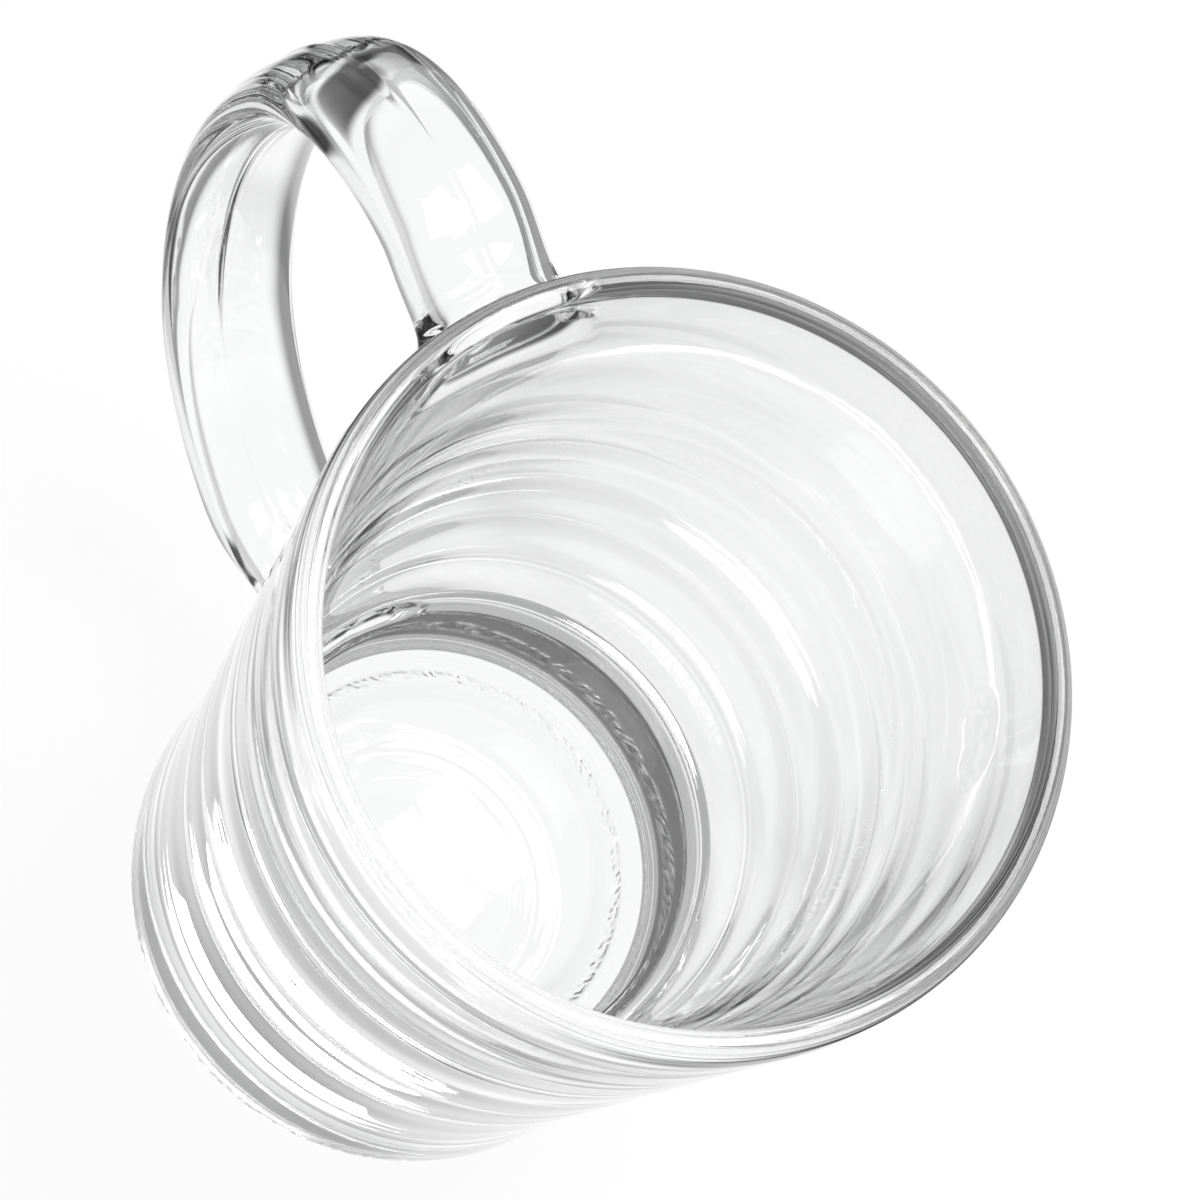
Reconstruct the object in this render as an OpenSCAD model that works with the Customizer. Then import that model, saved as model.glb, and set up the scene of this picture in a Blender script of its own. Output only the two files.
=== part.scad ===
// Beer mug of thick pressed glass: a ringed bowl on a solid base, and a strap handle fused to it.
// The bowl stands on its foot ring at z = 0, its axis is the z axis, and the handle points along +x.

/* [Bowl] */
// Outside diameter of the rim
rim_d = 84; // [72:1:100]
// Height from the table to the top of the rim
height = 121.5; // [104:0.5:138]
// Diameter of the plain solid base
base_d = 69.5; // [64:0.5:76]
// Height of the plain solid base
base_h = 20.5; // [17:0.5:26]
// Thickness of the glass at the lip
lip_t = 3.3; // [2.6:0.1:4.4]
// Thickness of the wall where it meets the base
wall_t = 8; // [6:0.1:9]
// Height of the plain band under the lip
band_h = 4.5; // [3.5:0.5:10]
// Number of rings between the band and the base
ring_count = 9; // [5:1:12]
// Depth of a ring from crest to hollow
ring_depth = 0.12; // [0.08:0.02:0.4]

/* [Floor and foot] */
// Thickness of the glass under the middle of the floor
floor_t = 27.5; // [20:0.5:30]
// Radius of the ball that the dished floor is part of
dish_r = 50; // [44:1:90]
// Radius of the inside corner between wall and floor
floor_r = 6; // [4:0.5:9]
// Radius of the heel
heel_r = 3.5; // [2:0.1:5]
// Width of the foot ring that stands on the table
foot_w = 4; // [2.5:0.1:7]
// Rise of the hollow under the base
hollow_h = 2.5; // [1:0.1:4]

/* [Handle] */
// Width of the strap across the hand
strap_w = 17; // [14:0.2:20]
// Thickness of the strap
strap_t = 7.5; // [6.6:0.1:9.4]
// Distance from the axis of the bowl to the outer face of the strap
reach = 82.6; // [78:0.2:89]
// Drop from the top of the rim to the top of the strap
crest_drop = 1.7; // [0.5:0.1:3]
// Height of the middle of the lower root
lower_root_z = 22.5; // [19:0.5:25]
// Drop from the crest of the strap to the middle of the upper root, along its middle line
upper_root_drop = 7; // [5:0.5:9]
// Middle radius of the bend at the top
crown_r = 23.4; // [21:0.2:25]
// Middle radius of the bend at the bottom
lower_r = 36.8; // [34:0.2:39]
// Middle radius of the bend into the upper root
neck_r = 9.7; // [8:0.1:12]
// Radius of the fillets where the strap flows into the wall
root_r = 6; // [3:0.5:7]
// Height of the mould seam along the outer face
seam_h = 0.3; // [0.1:0.05:0.5]

/* [Hidden] */
$fn = 96;

function spoke(a) = [cos(a), sin(a)];

rim_r = rim_d / 2;
base_r = base_d / 2;
lip_r = lip_t / 2;

// The rings are a smooth wave on a slanted line from the band to the base, half a ring depth inside its crests.
amp = ring_depth / 2;
line_top = [rim_r - amp, height - band_h];
line_low = [base_r - amp, base_h];
line_len = norm(line_top - line_low);
line_dir = (line_low - line_top) / line_len;
line_out = [-line_dir.y, line_dir.x];
ring_pitch = line_len / ring_count;
ring_steps = 10;
function on_line(rings) = line_top + line_dir * ring_pitch * rings + line_out * amp * cos(360 * rings);
rings = [for (i = [ring_steps * ring_count : -1 : 0]) on_line(i / ring_steps)];

// The inside wall is a straight cone, and a round corner is tangent to it and to the ball of the dished floor.
cone_top = [rim_r - lip_t, height - lip_r];
cone_low = [base_r - wall_t, base_h];
cone_slope = (cone_top.x - cone_low.x) / (cone_top.y - cone_low.y);
cone_a = atan(cone_slope);
dish_z = floor_t + dish_r;
// The middle of the corner is at [shift + cone_slope * z, z], as far from the wall as from the ball.
shift = cone_low.x - base_h * cone_slope - floor_r / cos(cone_a);
half_b = dish_z - shift * cone_slope;
steep = 1 + cone_slope * cone_slope;
corner_z = (half_b - sqrt(half_b * half_b
    - steep * (shift * shift + dish_z * dish_z - (dish_r - floor_r) * (dish_r - floor_r)))) / steep;
corner_x = shift + cone_slope * corner_z;
dish_a = atan2(corner_z - dish_z, corner_x);
dish_steps = 10;
dish = [for (i = [0 : dish_steps - 1]) [0, dish_z] + dish_r * spoke(-90 + (dish_a + 90) * i / dish_steps)];
corner_steps = 12;
corner = [for (i = [0 : corner_steps]) [corner_x, corner_z]
    + floor_r * spoke(dish_a - (dish_a + cone_a) * i / corner_steps)];

foot_r = base_r - heel_r;
hollow_r = foot_r - foot_w;
hollow_ball_r = (hollow_r * hollow_r + hollow_h * hollow_h) / (2 * hollow_h);

// The strap follows four tangent arcs. Angles are measured at each arc's middle from +x towards +z.
neck_a = 130;
back_start_a = 15.6;
back_end_a = -26;
crest_z = height - crest_drop - strap_t / 2;
back_r = (crest_z - lower_root_z - crown_r * (1 - sin(back_start_a)) - lower_r * (1 + sin(back_end_a)))
    / (sin(back_start_a) - sin(back_end_a));
back_mid = [reach - strap_t / 2 - back_r, crest_z - crown_r - (back_r - crown_r) * sin(back_start_a)];
crown_mid = back_mid + (back_r - crown_r) * spoke(back_start_a);
lower_mid = back_mid + (back_r - lower_r) * spoke(back_end_a);
neck_mid = [crown_mid.x, crest_z - neck_r];
neck_end = neck_mid + neck_r * spoke(neck_a);
// The ends run into the bowl, which trims them.
sink = strap_t / 2;
neck_len = (neck_end.x - rim_r + lip_t + sink) / sin(neck_a);
tail_len = lower_mid.x - base_r + sink;
// Outside radius of the wall at a height, on the crests of the rings
function wall_r(z) = base_r + (rim_r - base_r) * max(0, z - base_h) / (height - band_h - base_h);
// A root starts this far inside the wall, its thin end dips this far into the strap, and its sides end this far
// before its start would come out of the wall.
root_sink = 1.6;
root_dip = 0.4;
root_inset = 1;
// Every other length of the strap is this much slimmer and reaches this far into its neighbours.
slim = 0.02;
lap = 0.5;

// Half section of the bowl as a solid, without its inside
module bowl_outside() {
    polygon(concat([[0, 0], [foot_r, 0], [base_r, heel_r]], rings, [[rim_r, cone_top.y], [0, cone_top.y]]));
    translate([foot_r, heel_r]) circle(heel_r);
    translate([rim_r - lip_r, cone_top.y]) circle(lip_r);
}

// Half section of the space inside
module bowl_inside() {
    polygon(concat(dish, corner, [cone_top, [cone_top.x, height + lip_t], [0, height + lip_t]]));
}

module bowl() {
    color("lightcyan") rotate_extrude() difference() {
        bowl_outside();
        bowl_inside();
        intersection() {
            translate([0, hollow_h - hollow_ball_r]) circle(hollow_ball_r);
            square([hollow_r, height]);
        }
    }
}

// Section of the strap, with its outer face and the seam towards +x
module strap_section(less = 0) {
    for (side = [-1, 1]) translate([0, side * (strap_w - strap_t) / 2]) circle(d = strap_t - 2 * less);
    square([strap_t - 2 * less, strap_w - strap_t], center = true);
    translate([strap_t / 2 - seam_h, 0]) circle(2 * seam_h - less);
}

// One bend of the strap, between two angles
module bend(mid, radius, from_a, to_a, less = 0) {
    more_a = less > 0 ? lap / radius * 180 / PI : 0;
    translate([mid.x, 0, mid.y]) rotate([90, 0, 0])
        rotate_extrude(angle = to_a - from_a + 2 * more_a, start = from_a - more_a)
            translate([radius, 0]) strap_section(less);
}

// Half section of a root fillet, one radius long
module root_section() {
    wide = strap_t / 2 - root_dip + root_r;
    difference() {
        square([wide, root_r]);
        translate([wide, root_r]) circle(root_r);
    }
}

// A root fillet as trumpets side by side on the strap, which start inside the wall at this height
module root(z) {
    start_x = wall_r(z) - root_sink;
    root_w = 2 * (sqrt(wall_r(z) * wall_r(z) - start_x * start_x) - root_inset);
    translate([start_x, 0, z]) rotate([0, 90, 0]) intersection() {
        for (side = [-1, 0, 1])
            translate([0, side * (strap_w - strap_t) / 2, 0]) rotate_extrude() root_section();
        cube([strap_w + 4 * root_r, root_w, 4 * root_r], center = true);
    }
}

module handle() {
    color("lightblue") difference() {
        union() {
            translate([neck_end.x, 0, neck_end.y]) rotate([0, -neck_a, 0])
                linear_extrude(neck_len) strap_section();
            bend(neck_mid, neck_r, 90, neck_a, slim);
            bend(crown_mid, crown_r, back_start_a, 90);
            bend(back_mid, back_r, back_end_a, back_start_a, slim);
            bend(lower_mid, lower_r, -90, back_end_a);
            translate([lower_mid.x + lap, 0, lower_root_z]) rotate([0, -90, 0])
                linear_extrude(tail_len + lap) mirror([1, 0]) strap_section(slim);
            root(lower_root_z);
            root(crest_z - upper_root_drop);
        }
        rotate_extrude() bowl_outside();
    }
}

bowl();
handle();
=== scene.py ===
"""Looks of a pressed-glass beer mug: a ringed bowl on a solid base, and a strap handle fused to it."""
import math

import bmesh
import bpy
import numpy as np
from mathutils import Matrix, Vector


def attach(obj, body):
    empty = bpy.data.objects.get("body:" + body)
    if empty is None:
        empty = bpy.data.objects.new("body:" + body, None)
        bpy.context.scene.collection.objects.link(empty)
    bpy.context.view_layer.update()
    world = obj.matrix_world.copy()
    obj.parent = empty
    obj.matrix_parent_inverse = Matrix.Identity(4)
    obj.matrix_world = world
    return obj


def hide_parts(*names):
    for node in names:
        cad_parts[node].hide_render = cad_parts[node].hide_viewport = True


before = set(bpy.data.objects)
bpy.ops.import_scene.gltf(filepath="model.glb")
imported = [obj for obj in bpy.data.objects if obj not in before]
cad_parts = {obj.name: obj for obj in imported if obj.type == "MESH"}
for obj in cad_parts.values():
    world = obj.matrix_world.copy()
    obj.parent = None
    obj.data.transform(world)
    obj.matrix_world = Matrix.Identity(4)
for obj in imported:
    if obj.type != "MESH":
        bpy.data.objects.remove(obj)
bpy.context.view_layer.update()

MM = 0.001
WHITE = (1, 1, 1, 1)

# Sizes that the part's source has too, in millimetres and degrees
RIM_R, BASE_R, HEIGHT = 42.0, 34.75, 121.5
BASE_H, BAND_H = 20.5, 4.5
LIP_T, WALL_T = 3.3, 8.0
RING_COUNT = 9
FLOOR_T, FLOOR_R, DISH_R = 27.5, 6.0, 50.0
HEEL_R, FOOT_W, HOLLOW_H = 3.5, 4.0, 2.5
STRAP_W, STRAP_T, REACH = 17.0, 7.5, 82.6
CREST_DROP, LOWER_ROOT_Z = 1.7, 22.5
CROWN_R, LOWER_R, NECK_R = 23.4, 36.8, 9.7
BACK_START_A, BACK_END_A = 15.6, -26.0
SEAM_H = 0.3

# Depth of the rings, half of the source's, because deeper ones draw strong lines on the far wall
RING_DEPTH = 0.06
# Middle of the upper root, and half the width and height of each root where it leaves the wall
UPPER_ROOT_Z = 109.0
UPPER_OVAL, LOWER_OVAL = (13.4, 7.4), (12.8, 7.6)
# How square the ovals of the strap and its roots are, where 2 is a plain ellipse
OVAL_POWER = 2.3
SEAM_HALF_W = 0.9
# Height of the stipple on the foot ring, how many rows of its mesh it covers, and its random seed
STIPPLE_H, STIPPLE_ROWS, STIPPLE_SEED = 0.2, 4, 7

# Divisions of the meshes
AROUND = 300
HOLLOW_STEPS, FOOT_STEPS, HEEL_STEPS = 24, 8, 12
RING_STEPS, LIP_STEPS = 14, 20
CONE_STEPS, CORNER_STEPS, DISH_STEPS = 60, 24, 16
PATCH_HALF_COLUMNS, PATCH_ROWS = 17, 22
ROOT_WALL_STEPS, ROOT_FILLET_STEPS = 4, 16


def spoke(angle):
    """A step of one in a direction given in degrees."""
    return np.array([math.cos(math.radians(angle)), math.sin(math.radians(angle))])


def arc(mid, radius, from_a, to_a, steps):
    """Points along an arc, both ends included."""
    return [np.asarray(mid) + radius * spoke(a) for a in np.linspace(from_a, to_a, steps + 1)]


def line(start, end, steps):
    """Points along a line, without its start."""
    return [np.asarray(start) + (np.asarray(end) - start) * i / steps for i in range(1, steps + 1)]


def wall_radius(z):
    """Outside radius of the bowl at a height: a plain base, a cone with rings on it, and a plain band."""
    along = np.clip((HEIGHT - BAND_H - np.asarray(z)) / (HEIGHT - BAND_H - BASE_H), 0, 1)
    crest = RIM_R + (BASE_R - RIM_R) * along
    return crest - RING_DEPTH / 2 * (1 - np.cos(2 * np.pi * RING_COUNT * along))


def wall_rows():
    """Heights of the rows of the outside wall, from the heel to the lip."""
    pitch = (HEIGHT - BAND_H - BASE_H) / RING_COUNT / RING_STEPS
    lip_z = HEIGHT - LIP_T / 2
    heights = [HEEL_R]
    for top in (BASE_H, HEIGHT - BAND_H, lip_z):
        steps = max(1, round((top - heights[-1]) / pitch))
        heights += list(np.linspace(heights[-1], top, steps + 1)[1:])
    return np.array(heights)


def under_profile():
    """Half section of the underside, from its middle over the foot ring and round the heel."""
    foot_r = BASE_R - HEEL_R
    hollow_r = foot_r - FOOT_W
    ball_r = (hollow_r**2 + HOLLOW_H**2) / (2 * HOLLOW_H)
    hollow = [np.array([r, HOLLOW_H - ball_r + math.sqrt(ball_r**2 - r**2)])
              for r in np.linspace(0, hollow_r, HOLLOW_STEPS + 1)]
    foot = line((hollow_r, 0.0), (foot_r, 0.0), FOOT_STEPS)
    heel = arc((foot_r, HEEL_R), HEEL_R, -90, 0, HEEL_STEPS)
    return hollow + foot + heel[1:-1]


def inside_profile(top):
    """Half section of the inside, from the lip down the cone and round the corner to the middle."""
    low = np.array([BASE_R - WALL_T, BASE_H])
    slope = (top[0] - low[0]) / (top[1] - low[1])
    lean = math.degrees(math.atan(slope))
    # The corner is tangent to the cone of the wall and to the ball of the dished floor.
    dish_z = FLOOR_T + DISH_R
    offset = low[0] - low[1] * slope - FLOOR_R / math.cos(math.radians(lean))
    half_b = dish_z - offset * slope
    rest = offset**2 + dish_z**2 - (DISH_R - FLOOR_R)**2
    corner_z = (half_b - math.sqrt(half_b**2 - (slope**2 + 1) * rest)) / (slope**2 + 1)
    corner_x = offset + slope * corner_z
    dish_a = math.degrees(math.atan2(corner_z - dish_z, corner_x))
    corner = arc((corner_x, corner_z), FLOOR_R, -lean, dish_a, CORNER_STEPS)
    cone = line(top, corner[0], CONE_STEPS)
    dish = arc((0.0, dish_z), DISH_R, dish_a, -90, DISH_STEPS)
    return cone + corner[1:] + dish[1:]


def bowl_profile():
    """Half section of the bowl from the middle of the underside, over the lip, to the middle of the floor.
    Returns the points and the place of the first row of the wall in them."""
    under = under_profile()
    wall = [np.array([wall_radius(z), z]) for z in wall_rows()]
    lip_r = LIP_T / 2
    lip = arc((RIM_R - lip_r, HEIGHT - lip_r), lip_r, 0, 180, LIP_STEPS)[1:]
    return np.array(under + wall + lip + inside_profile(lip[-1])), len(under)


def patch_columns():
    """Columns of the bowl's mesh that a root of the strap covers, counted from the column at +x."""
    return list(range(-PATCH_HALF_COLUMNS, PATCH_HALF_COLUMNS + 1))


def patch_rows(middle_z):
    """Rows of the wall that a root at this height covers."""
    middle = int(np.argmin(np.abs(wall_rows() - middle_z)))
    return list(range(middle - PATCH_ROWS // 2, middle + PATCH_ROWS // 2 + 1))


def column_angle(column):
    """Direction of a column of the bowl's mesh, in radians from +x."""
    return 2 * math.pi * column / AROUND


def finish_mesh(name, vertices, faces, slots):
    """A smooth closed mesh object, in metres, from points in millimetres."""
    mesh = bpy.data.meshes.new(name)
    mesh.from_pydata([tuple(v) for v in np.asarray(vertices) * MM], [], faces)
    mesh.polygons.foreach_set("material_index", slots)
    mesh.polygons.foreach_set("use_smooth", [True] * len(faces))
    mesh.update()
    obj = bpy.data.objects.new(name, mesh)
    bpy.context.scene.collection.objects.link(obj)
    return obj


def make_bowl(patches):
    """The bowl as a solid of revolution. Faces under a root of the strap get the second material."""
    profile, first_row = bowl_profile()
    last = len(profile) - 1
    turn = 2 * np.pi * np.arange(AROUND) / AROUND
    foot_end = HOLLOW_STEPS + FOOT_STEPS
    stipple_rows = range(foot_end - STIPPLE_ROWS, foot_end)
    stipple = STIPPLE_H * np.random.default_rng(STIPPLE_SEED).random((len(profile), AROUND))
    vertices = [(0, 0, profile[0][1])]
    for row in range(1, last):
        r, z = profile[row]
        # The rows at both edges of the stipple stay in place.
        rough = stipple[row] if row in stipple_rows[1:] else np.zeros(AROUND)
        vertices += list(zip(r * np.cos(turn), r * np.sin(turn), z + rough))
    vertices.append((0, 0, profile[last][1]))
    end = len(vertices) - 1

    def place(row, column):
        """Number of the vertex in a row and a column."""
        return 1 + (row - 1) * AROUND + column % AROUND

    covered = {(first_row + row, column % AROUND)
               for rows in patches for row in range(min(rows), max(rows))
               for column in patch_columns()[:-1]}
    faces, slots = [], []
    for column in range(AROUND):
        faces.append((0, place(1, column + 1), place(1, column)))
        slots.append(0)
        for row in range(1, last - 1):
            faces.append((place(row, column), place(row, column + 1),
                          place(row + 1, column + 1), place(row + 1, column)))
            slots.append(1 if (row, column) in covered else 0)
        faces.append((place(last - 1, column), place(last - 1, column + 1), end))
        slots.append(0)
    obj = finish_mesh("mug_bowl", vertices, faces, slots)
    # The grains of the stipple are flat. Every column has one face for each step of the profile.
    for column in range(AROUND):
        for row in stipple_rows:
            obj.data.polygons[column * last + row].use_smooth = False
    return obj


def patch_loop(columns, rows):
    """Places round the edge of a patch of the wall, from its first corner along its first row."""
    across, along = len(columns) - 1, len(rows) - 1
    loop = [(columns[i], rows[0]) for i in range(across)]
    loop += [(columns[across], rows[i]) for i in range(along)]
    loop += [(columns[across - i], rows[along]) for i in range(across)]
    loop += [(columns[0], rows[along - i]) for i in range(along)]
    return loop


def oval_loop(half_w, half_t):
    """Points round a flattened oval, as many as round a patch, and spaced side by side like the patch's."""
    across, along = 2 * PATCH_HALF_COLUMNS, PATCH_ROWS
    dense_steps = 400
    corner = math.atan2(half_t, half_w)
    ends = [corner - math.pi, -corner, corner, math.pi - corner, corner + math.pi]
    points = []
    for start, end, steps in zip(ends, ends[1:], (across, along, across, along)):
        a = np.linspace(start, end, dense_steps)
        square = np.abs(np.cos(a) / half_w)**OVAL_POWER + np.abs(np.sin(a) / half_t)**OVAL_POWER
        radius = square**(-1 / OVAL_POWER)
        dense = np.stack([radius * np.cos(a), radius * np.sin(a)], 1)
        run = np.concatenate([[0], np.cumsum(np.linalg.norm(np.diff(dense, axis=0), axis=1))])
        at = np.linspace(0, run[-1], steps + 1)[:-1]
        points += list(np.stack([np.interp(at, run, dense[:, i]) for i in (0, 1)], 1))
    return np.array(points)


def strap_section():
    """Section of the strap: across it, and out of it towards the outer face with the mould seam."""
    section = oval_loop(STRAP_W / 2, STRAP_T / 2)
    on_seam = (section[:, 1] > 0) & (np.abs(section[:, 0]) < SEAM_HALF_W)
    section[on_seam, 1] += SEAM_H * np.cos(np.pi / 2 * section[on_seam, 0] / SEAM_HALF_W)**2
    return section


def strap_path():
    """Middle line of the strap between its roots: places and outward directions in the x-z plane."""
    crest_z = HEIGHT - CREST_DROP - STRAP_T / 2
    sine = {a: math.sin(math.radians(a)) for a in (BACK_START_A, BACK_END_A)}
    back_r = (crest_z - LOWER_ROOT_Z - CROWN_R * (1 - sine[BACK_START_A]) - LOWER_R * (1 + sine[BACK_END_A]))
    back_r /= sine[BACK_START_A] - sine[BACK_END_A]
    back_z = crest_z - CROWN_R - (back_r - CROWN_R) * sine[BACK_START_A]
    back = np.array([REACH - STRAP_T / 2 - back_r, back_z])
    crown = back + (back_r - CROWN_R) * spoke(BACK_START_A)
    lower = back + (back_r - LOWER_R) * spoke(BACK_END_A)
    neck = np.array([crown[0], crest_z - NECK_R])
    neck_start_a, lower_end_a = 110.0, -70.0
    bends = ((neck, NECK_R, neck_start_a, 90.0), (crown, CROWN_R, 90.0, BACK_START_A),
             (back, back_r, BACK_START_A, BACK_END_A), (lower, LOWER_R, BACK_END_A, lower_end_a))
    places, outs = [], []
    for mid, radius, from_a, to_a in bends:
        # one step for about each millimetre
        steps = round(radius * math.radians(abs(to_a - from_a)))
        angles = np.linspace(from_a, to_a, steps + 1)[1 if places else 0:]
        places += [mid + radius * spoke(a) for a in angles]
        outs += [spoke(a) for a in angles]
    return np.array(places), np.array(outs)


def on_wall(across, z):
    """Points of the wall at a distance across and a height."""
    return np.stack([np.sqrt(wall_radius(z)**2 - across**2), across, z], 1)


def root_rings(rows, middle_z, oval, section, away):
    """Rings from the edge of a patch of the wall to a section of the strap: first on the wall, up to an oval,
    and then along a fillet, which leaves the wall flat and meets the strap along its path."""
    loop = patch_loop(patch_columns(), rows)
    z = wall_rows()[[row for column, row in loop]]
    across = wall_radius(z) * np.sin([column_angle(column) for column, row in loop])
    oval_z = middle_z + oval[:, 1] * (1 if rows[-1] > rows[0] else -1)
    rings = [on_wall(across + (oval[:, 0] - across) * t, z + (oval_z - z) * t)
             for t in np.linspace(0, 1, ROOT_WALL_STEPS + 1)]
    start = rings[-1]
    gap = section - start
    reach = np.linalg.norm(gap, axis=1, keepdims=True)
    normal = start * [1, 1, 0]
    normal /= np.linalg.norm(normal, axis=1, keepdims=True)
    along = gap - normal * np.sum(gap * normal, axis=1, keepdims=True)
    along /= np.linalg.norm(along, axis=1, keepdims=True)
    pull = 0.62
    first, second = start + along * reach * pull, section - away * reach * pull
    for t in np.linspace(0, 1, ROOT_FILLET_STEPS + 1)[1:]:
        s = 1 - t
        rings.append(s**3 * start + 3 * s * s * t * first + 3 * s * t * t * second + t**3 * section)
    return rings


def add_end_face(rows, first, vertices, faces, slots):
    """Closes an end of the strap with a patch of the wall. The ring of vertices round it starts at first."""
    columns, heights = patch_columns(), wall_rows()
    place = {spot: first + i for i, spot in enumerate(patch_loop(columns, rows))}
    for row in rows[1:-1]:
        for column in columns[1:-1]:
            r, a = wall_radius(heights[row]), column_angle(column)
            place[column, row] = len(vertices)
            vertices.append(np.array([r * math.cos(a), r * math.sin(a), heights[row]]))
    for row, next_row in zip(rows, rows[1:]):
        for column in columns[:-1]:
            faces.append((place[column, row], place[column, next_row],
                          place[column + 1, next_row], place[column + 1, row]))
            slots.append(1)


def face_outwards(obj):
    """Turns all faces outwards and makes the edges between two materials sharp."""
    work = bmesh.new()
    work.from_mesh(obj.data)
    bmesh.ops.recalc_face_normals(work, faces=work.faces)
    for edge in work.edges:
        if len({face.material_index for face in edge.link_faces}) > 1:
            edge.smooth = False
    work.to_mesh(obj.data)
    work.free()


def make_handle(upper_rows, lower_rows):
    """The strap swept along its path, with a root at each end that flows into the wall. Its end faces lie on
    the wall and get the second material."""
    places, outs = strap_path()
    section = strap_section()
    sections = [np.stack([p[0] + o[0] * section[:, 1], section[:, 0], p[1] + o[1] * section[:, 1]], 1)
                for p, o in zip(places, outs)]
    upper_away = np.array([outs[0][1], 0, -outs[0][0]])
    lower_away = np.array([-outs[-1][1], 0, outs[-1][0]])
    upper = root_rings(upper_rows, UPPER_ROOT_Z, oval_loop(*UPPER_OVAL), sections[0], upper_away)
    lower = root_rings(lower_rows, LOWER_ROOT_Z, oval_loop(*LOWER_OVAL), sections[-1], lower_away)
    rings = upper + sections[1:-1] + lower[::-1]
    count = len(section)
    last_ring = (len(rings) - 1) * count
    vertices = [v for ring in rings for v in ring]
    faces = [(ring + i, ring + (i + 1) % count, ring + count + (i + 1) % count, ring + count + i)
             for ring in range(0, last_ring, count) for i in range(count)]
    slots = [0] * len(faces)
    add_end_face(upper_rows, 0, vertices, faces, slots)
    add_end_face(lower_rows, last_ring, vertices, faces, slots)
    obj = finish_mesh("mug_handle", vertices, faces, slots)
    face_outwards(obj)
    return obj


def new_material(name):
    """An empty material with its nodes, its links and its output."""
    material = bpy.data.materials.new(name)
    material.use_nodes = True
    nodes = material.node_tree.nodes
    nodes.clear()
    output = nodes.new("ShaderNodeOutputMaterial")
    return material, nodes, material.node_tree.links, output


def feed(links, value, socket):
    """Gives a socket the output of another node, or a plain value."""
    if isinstance(value, bpy.types.NodeSocket):
        links.new(value, socket)
    else:
        socket.default_value = value


def math_node(nodes, links, operation, *values):
    """The result of one calculation."""
    node = nodes.new("ShaderNodeMath")
    node.operation = operation
    for value, socket in zip(values, node.inputs):
        feed(links, value, socket)
    return node.outputs["Value"]


def map_range(nodes, links, value, span, to_span=(0.0, 1.0), kind="LINEAR"):
    """A value moved from one span to another, and held at its ends."""
    node = nodes.new("ShaderNodeMapRange")
    node.interpolation_type = kind
    links.new(value, node.inputs["Value"])
    node.inputs["From Min"].default_value, node.inputs["From Max"].default_value = span
    node.inputs["To Min"].default_value, node.inputs["To Max"].default_value = to_span
    return node.outputs["Result"]


def mix_shaders(nodes, links, factor, first, second):
    """A surface between two surfaces."""
    mix = nodes.new("ShaderNodeMixShader")
    for value, socket in zip((factor, first, second), mix.inputs):
        links.new(value, socket)
    return mix.outputs["Shader"]


def mix_greys(nodes, links, factor, first, second):
    """A grey between two greys."""
    mix = nodes.new("ShaderNodeMix")
    mix.data_type = "RGBA"
    links.new(factor, mix.inputs["Factor"])
    feed(links, first, mix.inputs["A"])
    feed(links, second, mix.inputs["B"])
    return mix.outputs["Result"]


def glass_material(name):
    """Clear pressed glass: a slightly uneven skin from the mould, polished, and worn rough under the foot."""
    polished, worn, worn_h = 0.03, 0.35, 0.4 * MM
    material, nodes, links, output = new_material(name)
    shader = nodes.new("ShaderNodeBsdfPrincipled")
    shader.inputs["Base Color"].default_value = (0.985, 0.99, 0.99, 1)
    shader.inputs["Transmission Weight"].default_value = 1.0
    shader.inputs["IOR"].default_value = 1.52
    links.new(shader.outputs["BSDF"], output.inputs["Surface"])
    place = nodes.new("ShaderNodeTexCoord")
    skin = nodes.new("ShaderNodeTexNoise")
    skin.inputs["Scale"].default_value = 45.0
    skin.inputs["Detail"].default_value = 2.0
    links.new(place.outputs["Object"], skin.inputs["Vector"])
    split = nodes.new("ShaderNodeSeparateXYZ")
    links.new(place.outputs["Object"], split.inputs["Vector"])
    polish = map_range(nodes, links, skin.outputs["Fac"], (0.0, 1.0), (0.0, polished))
    wear = map_range(nodes, links, split.outputs["Z"], (0.0, worn_h), (worn, 0.0))
    links.new(math_node(nodes, links, "ADD", polish, wear), shader.inputs["Roughness"])
    bump = nodes.new("ShaderNodeBump")
    bump.inputs["Strength"].default_value = 0.1
    bump.inputs["Distance"].default_value = 0.3 * MM
    links.new(skin.outputs["Fac"], bump.inputs["Height"])
    links.new(bump.outputs["Normal"], shader.inputs["Normal"])
    return material


def joint_material():
    """The face where the hot handle was fused to the bowl, of which nothing shows in the clear glass."""
    material, nodes, links, output = new_material("fused_joint")
    shader = nodes.new("ShaderNodeBsdfPrincipled")
    shader.inputs["Alpha"].default_value = 0.0
    links.new(shader.outputs["BSDF"], output.inputs["Surface"])
    return material


def white_floor():
    """A pale floor, just under the foot ring, that the camera sees as white with a soft shadow left in it.
    The glass looks past it into the surroundings."""
    floor_w, floor_drop, own_white = 8, 0.2 * MM, 0.93
    bpy.ops.mesh.primitive_plane_add(size=floor_w, location=(0, 0, -floor_drop))
    floor = bpy.context.object
    floor.name = "floor"
    material, nodes, links, output = new_material("floor_white")
    paper = nodes.new("ShaderNodeBsdfDiffuse")
    paper.inputs["Color"].default_value = (0.9, 0.9, 0.9, 1)
    glow = nodes.new("ShaderNodeEmission")
    glow.inputs["Strength"].default_value = 1.0
    path = nodes.new("ShaderNodeLightPath").outputs
    bent = math_node(nodes, links, "MAXIMUM", path["Is Glossy Ray"], path["Is Transmission Ray"])
    seen = math_node(nodes, links, "MULTIPLY_ADD", path["Is Camera Ray"], own_white, bent)
    surface = mix_shaders(nodes, links, seen, paper.outputs["BSDF"], glow.outputs["Emission"])
    links.new(surface, output.inputs["Surface"])
    floor.data.materials.append(material)
    floor.visible_glossy = False
    floor.visible_transmission = False


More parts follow.
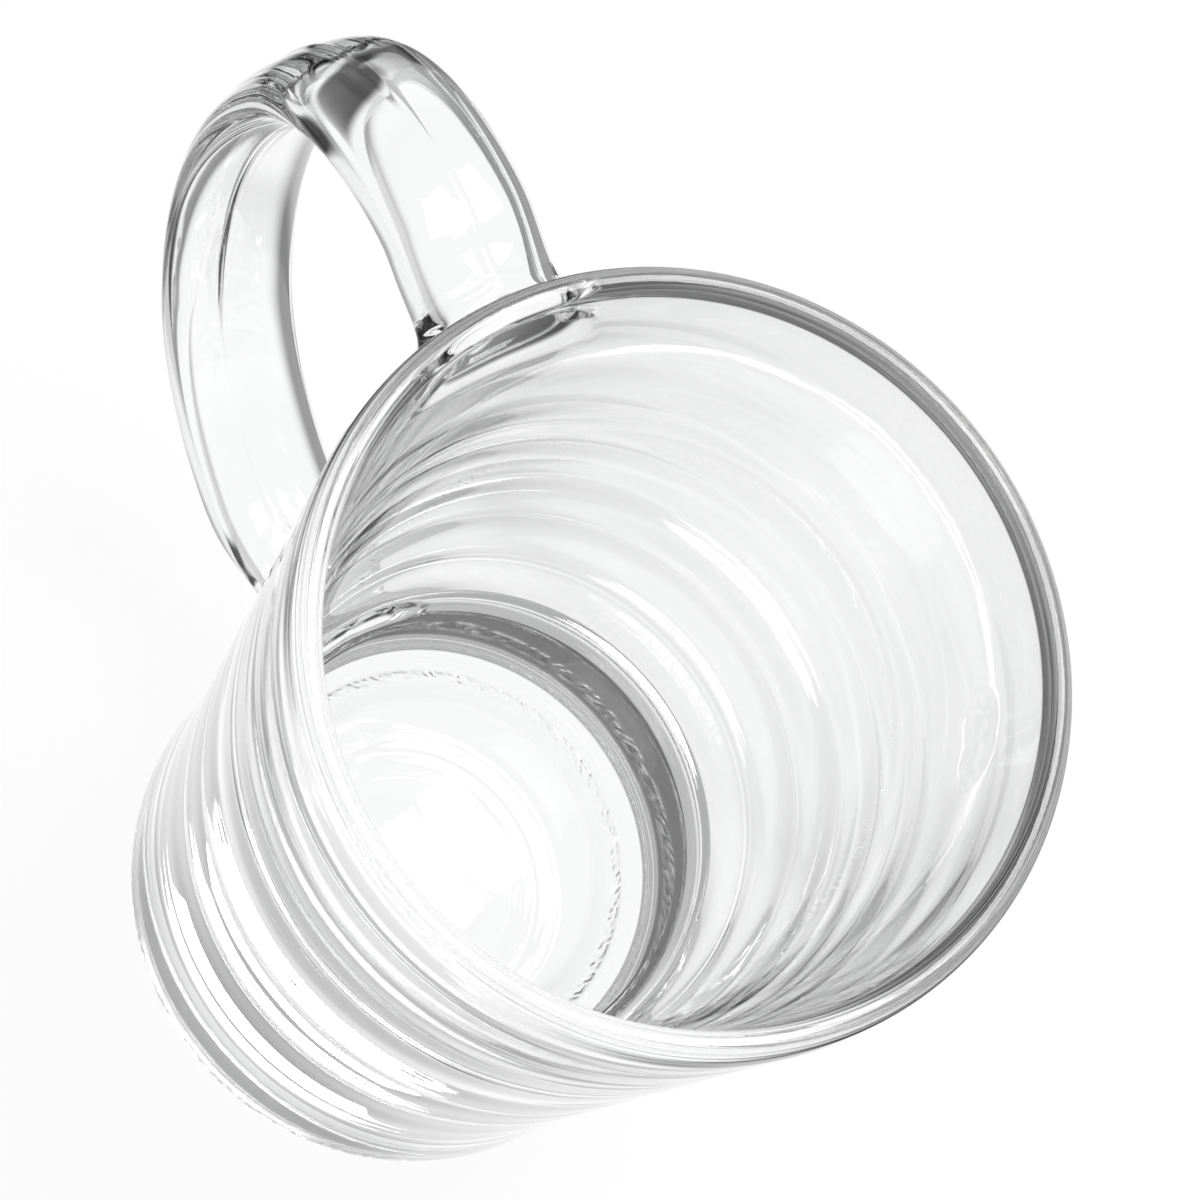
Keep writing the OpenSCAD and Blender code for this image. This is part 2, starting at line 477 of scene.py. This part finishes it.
def grey_ramp(nodes, links, share, stops):
    """Greys along a share of half a turn, from stops of degrees and levels."""
    ramp = nodes.new("ShaderNodeValToRGB")
    marks = ramp.color_ramp.elements
    for i, (degrees, level) in enumerate(stops):
        mark = marks[i] if i < 2 else marks.new(degrees / 180)
        mark.position = degrees / 180
        mark.color = (level, level, level, 1)
    links.new(share, ramp.inputs["Fac"])
    return ramp.outputs["Color"]


def studio_world():
    """What the glass shows: white round the photo's line of sight, grey and dark rings outside that, darkest
    on the side away from the camera, white again near the horizon, and a grey room above."""
    # degrees from straight down, and the level there
    above = ((76, 0.95), (98, 0.95), (110, 0.45), (180, 0.45))
    near_side = ((0, 0.3), (31, 0.3), (35, 0.13), (46, 0.13), (50, 0.5), (67, 0.5)) + above
    far_side = ((0, 0.3), (31, 0.2), (40, 0.03), (50, 0.03), (54, 0.65), (67, 0.7)) + above
    # the line of sight, and how many degrees the white round it and its soft edge measure
    sight, sight_r, sight_soft = (0.11, -0.38, -0.92), 27, 14
    # the camera's side, and how softly the two sides meet
    to_camera, side_soft = (*spoke(106.4), 0.0), 0.2
    world = bpy.data.worlds.new("studio")
    bpy.context.scene.world = world
    world.use_nodes = True
    nodes, links = world.node_tree.nodes, world.node_tree.links
    nodes.clear()
    output = nodes.new("ShaderNodeOutputWorld")
    place = nodes.new("ShaderNodeTexCoord")

    def along(direction):
        """How far a ray of length one goes in a direction."""
        dot = nodes.new("ShaderNodeVectorMath")
        dot.operation = "DOT_PRODUCT"
        dot.inputs[1].default_value = direction
        links.new(place.outputs["Generated"], dot.inputs[0])
        return dot.outputs["Value"]

    from_below = math_node(nodes, links, "ARCCOSINE", along((0, 0, -1)))
    share = math_node(nodes, links, "DIVIDE", from_below, math.pi)
    far, near = (grey_ramp(nodes, links, share, stops) for stops in (far_side, near_side))
    is_near = map_range(nodes, links, along(to_camera), (-side_soft, side_soft), kind="SMOOTHSTEP")
    edge = [math.cos(math.radians(sight_r + half)) for half in (sight_soft / 2, -sight_soft / 2)]
    in_sight = map_range(nodes, links, along(sight), edge, kind="SMOOTHSTEP")
    path = nodes.new("ShaderNodeLightPath")
    seen = mix_greys(nodes, links, is_near, far, near)
    seen = mix_greys(nodes, links, in_sight, seen, WHITE)
    seen = mix_greys(nodes, links, path.outputs["Is Camera Ray"], seen, WHITE)
    sky = nodes.new("ShaderNodeBackground")
    links.new(seen, sky.inputs["Color"])
    links.new(sky.outputs["Background"], output.inputs["Surface"])


def fade_out(nodes, links, surface, width, height):
    """A surface that is full in the middle of a panel and clear towards its edges."""
    full_to = 0.6
    place = nodes.new("ShaderNodeTexCoord")
    halves = nodes.new("ShaderNodeVectorMath")
    halves.operation = "MULTIPLY"
    halves.inputs[1].default_value = (2 / width, 2 / height, 0)
    links.new(place.outputs["Object"], halves.inputs[0])
    from_middle = nodes.new("ShaderNodeVectorMath")
    from_middle.operation = "LENGTH"
    links.new(halves.outputs["Vector"], from_middle.inputs[0])
    fade = map_range(nodes, links, from_middle.outputs["Value"], (full_to, 1.0), kind="SMOOTHSTEP")
    clear = nodes.new("ShaderNodeBsdfTransparent")
    return mix_shaders(nodes, links, fade, surface, clear.outputs["BSDF"])


def panel(name, place, aim, width, height, strength, lights=True):
    """A panel that the glass mirrors and shows: a soft light, or a dark card that fades out and throws no
    shadow."""
    mesh = bpy.data.meshes.new(name)
    w, h = width / 2, height / 2
    mesh.from_pydata([(-w, -h, 0), (w, -h, 0), (w, h, 0), (-w, h, 0)], [], [(0, 1, 2, 3)])
    board = bpy.data.objects.new(name, mesh)
    bpy.context.scene.collection.objects.link(board)
    board.location = place
    board.rotation_euler = (Vector(aim) - Vector(place)).to_track_quat("-Z", "Y").to_euler()
    material, nodes, links, output = new_material(name)
    glow = nodes.new("ShaderNodeEmission")
    glow.inputs["Strength"].default_value = strength
    surface = glow.outputs["Emission"]
    if not lights:
        surface = fade_out(nodes, links, surface, width, height)
    links.new(surface, output.inputs["Surface"])
    mesh.materials.append(material)
    board.visible_camera = False
    board.visible_diffuse = lights
    board.visible_shadow = lights


def photo_camera():
    """The camera of the photo: high over the side, with the picture turned about half a right angle."""
    azimuth, elevation, roll = 106.39, 66.94, 48.31
    aim = np.array([16.18, -17.97, 60.8]) * MM
    distance = 523.3 * MM
    flat = spoke(azimuth) * math.cos(math.radians(elevation))
    back = Vector((flat[0], flat[1], math.sin(math.radians(elevation))))
    level = back.to_track_quat("Z", "Y")
    turned = level @ Matrix.Rotation(math.radians(roll), 3, "Z").to_quaternion()
    data = bpy.data.cameras.new("camera")
    data.sensor_width = 36
    data.lens = 135
    camera = bpy.data.objects.new("camera", data)
    camera.rotation_mode = "QUATERNION"
    camera.rotation_quaternion = turned
    camera.location = Vector(aim) + back * distance
    bpy.context.scene.collection.objects.link(camera)
    bpy.context.scene.camera = camera


upper_patch, lower_patch = patch_rows(UPPER_ROOT_Z), patch_rows(LOWER_ROOT_Z)
glass, joint = glass_material("pressed_glass"), joint_material()
bowl = make_bowl((upper_patch, lower_patch))
handle = make_handle(upper_patch, lower_patch[::-1])
for piece, node in ((bowl, "bowl"), (handle, "handle")):
    piece.data.materials.append(glass)
    piece.data.materials.append(joint)
    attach(piece, "root")
    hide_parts(node)

white_floor()
studio_world()
panel("softbox_top", place=(0.10, -0.36, 0.90), aim=(0, 0, 0.05), width=0.55, height=0.55, strength=9.0)
panel("card_handle", place=(0.109, -0.026, 0.084), aim=(0.072, 0, 0.105), width=0.075, height=0.045,
      strength=0.02, lights=False)
photo_camera()

scene = bpy.context.scene
scene.view_settings.view_transform = "Standard"
scene.cycles.max_bounces = 24
scene.cycles.transmission_bounces = 24
scene.cycles.glossy_bounces = 12
scene.cycles.transparent_max_bounces = 16
